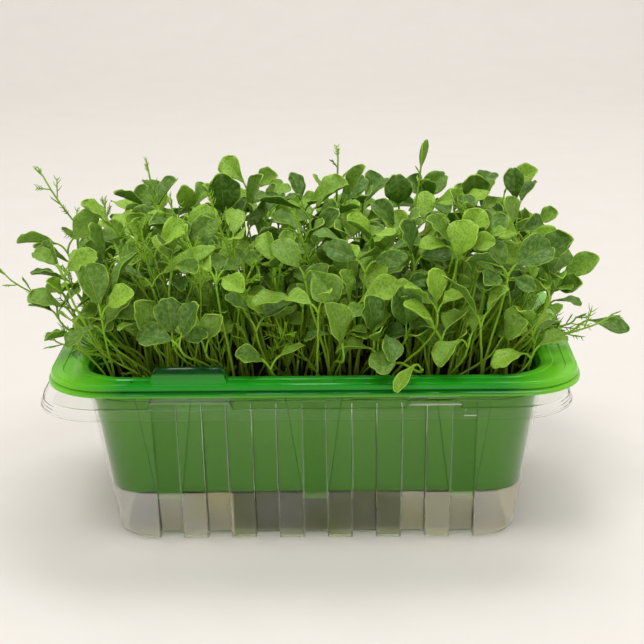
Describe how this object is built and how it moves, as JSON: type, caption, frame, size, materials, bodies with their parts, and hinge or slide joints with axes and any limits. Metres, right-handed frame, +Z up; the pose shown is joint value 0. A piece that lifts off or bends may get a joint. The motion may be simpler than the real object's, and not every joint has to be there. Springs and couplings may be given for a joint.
{
  "type": "kale microgreens tray",
  "caption": "Young kale seedlings with some feathery sprouts, growing in dark soil in a green tray that stands in a fluted clear outer tray.",
  "frame": {"origin": "middle of the clear tray's foot, on the surface it stands on", "axes": "+X along the long side to the right as seen from the front, +Y to the back, +Z up; the side with the latch box faces -Y"},
  "size_m": [0.2352, 0.1294, 0.1392],
  "materials": {
    "clear_plastic": "clear formed sheet",
    "green_plastic": "glossy tinted sheet, slightly see-through",
    "soil": "moist crumbly growing soil",
    "leaf": "soft leaf with a faint waxy sheen, yellow-green stems"
  },
  "bodies": {
    "root": {"clear_tray": "clear_plastic", "green_tray": "green_plastic", "soil": "soil", "seedlings_01": "leaf", "seedlings_02": "leaf", "seedlings_03": "leaf", "seedlings_04": "leaf", "seedlings_05": "leaf", "seedlings_06": "leaf", "seedlings_07": "leaf", "seedlings_08": "leaf", "seedlings_09": "leaf", "seedlings_10": "leaf", "seedlings_11": "leaf", "seedlings_12": "leaf", "seedlings_13": "leaf", "seedlings_14": "leaf", "seedlings_15": "leaf", "seedlings_16": "leaf", "seedlings_17": "leaf", "seedlings_18": "leaf", "seedlings_19": "leaf", "seedlings_20": "leaf", "seedlings_21": "leaf", "seedlings_22": "leaf", "seedlings_23": "leaf", "seedlings_24": "leaf", "seedlings_25": "leaf", "seedlings_26": "leaf", "seedlings_27": "leaf", "seedlings_28": "leaf", "seedlings_29": "leaf", "seedlings_30": "leaf", "seedlings_31": "leaf", "seedlings_32": "leaf", "seedlings_33": "leaf", "seedlings_34": "leaf", "seedlings_35": "leaf", "seedlings_36": "leaf", "seedlings_37": "leaf", "seedlings_38": "leaf", "seedlings_39": "leaf", "seedlings_40": "leaf", "seedlings_41": "leaf", "seedlings_42": "leaf", "seedlings_43": "leaf", "seedlings_44": "leaf", "seedlings_45": "leaf", "seedlings_46": "leaf", "seedlings_47": "leaf", "seedlings_48": "leaf"}
  },
  "joints": []
}
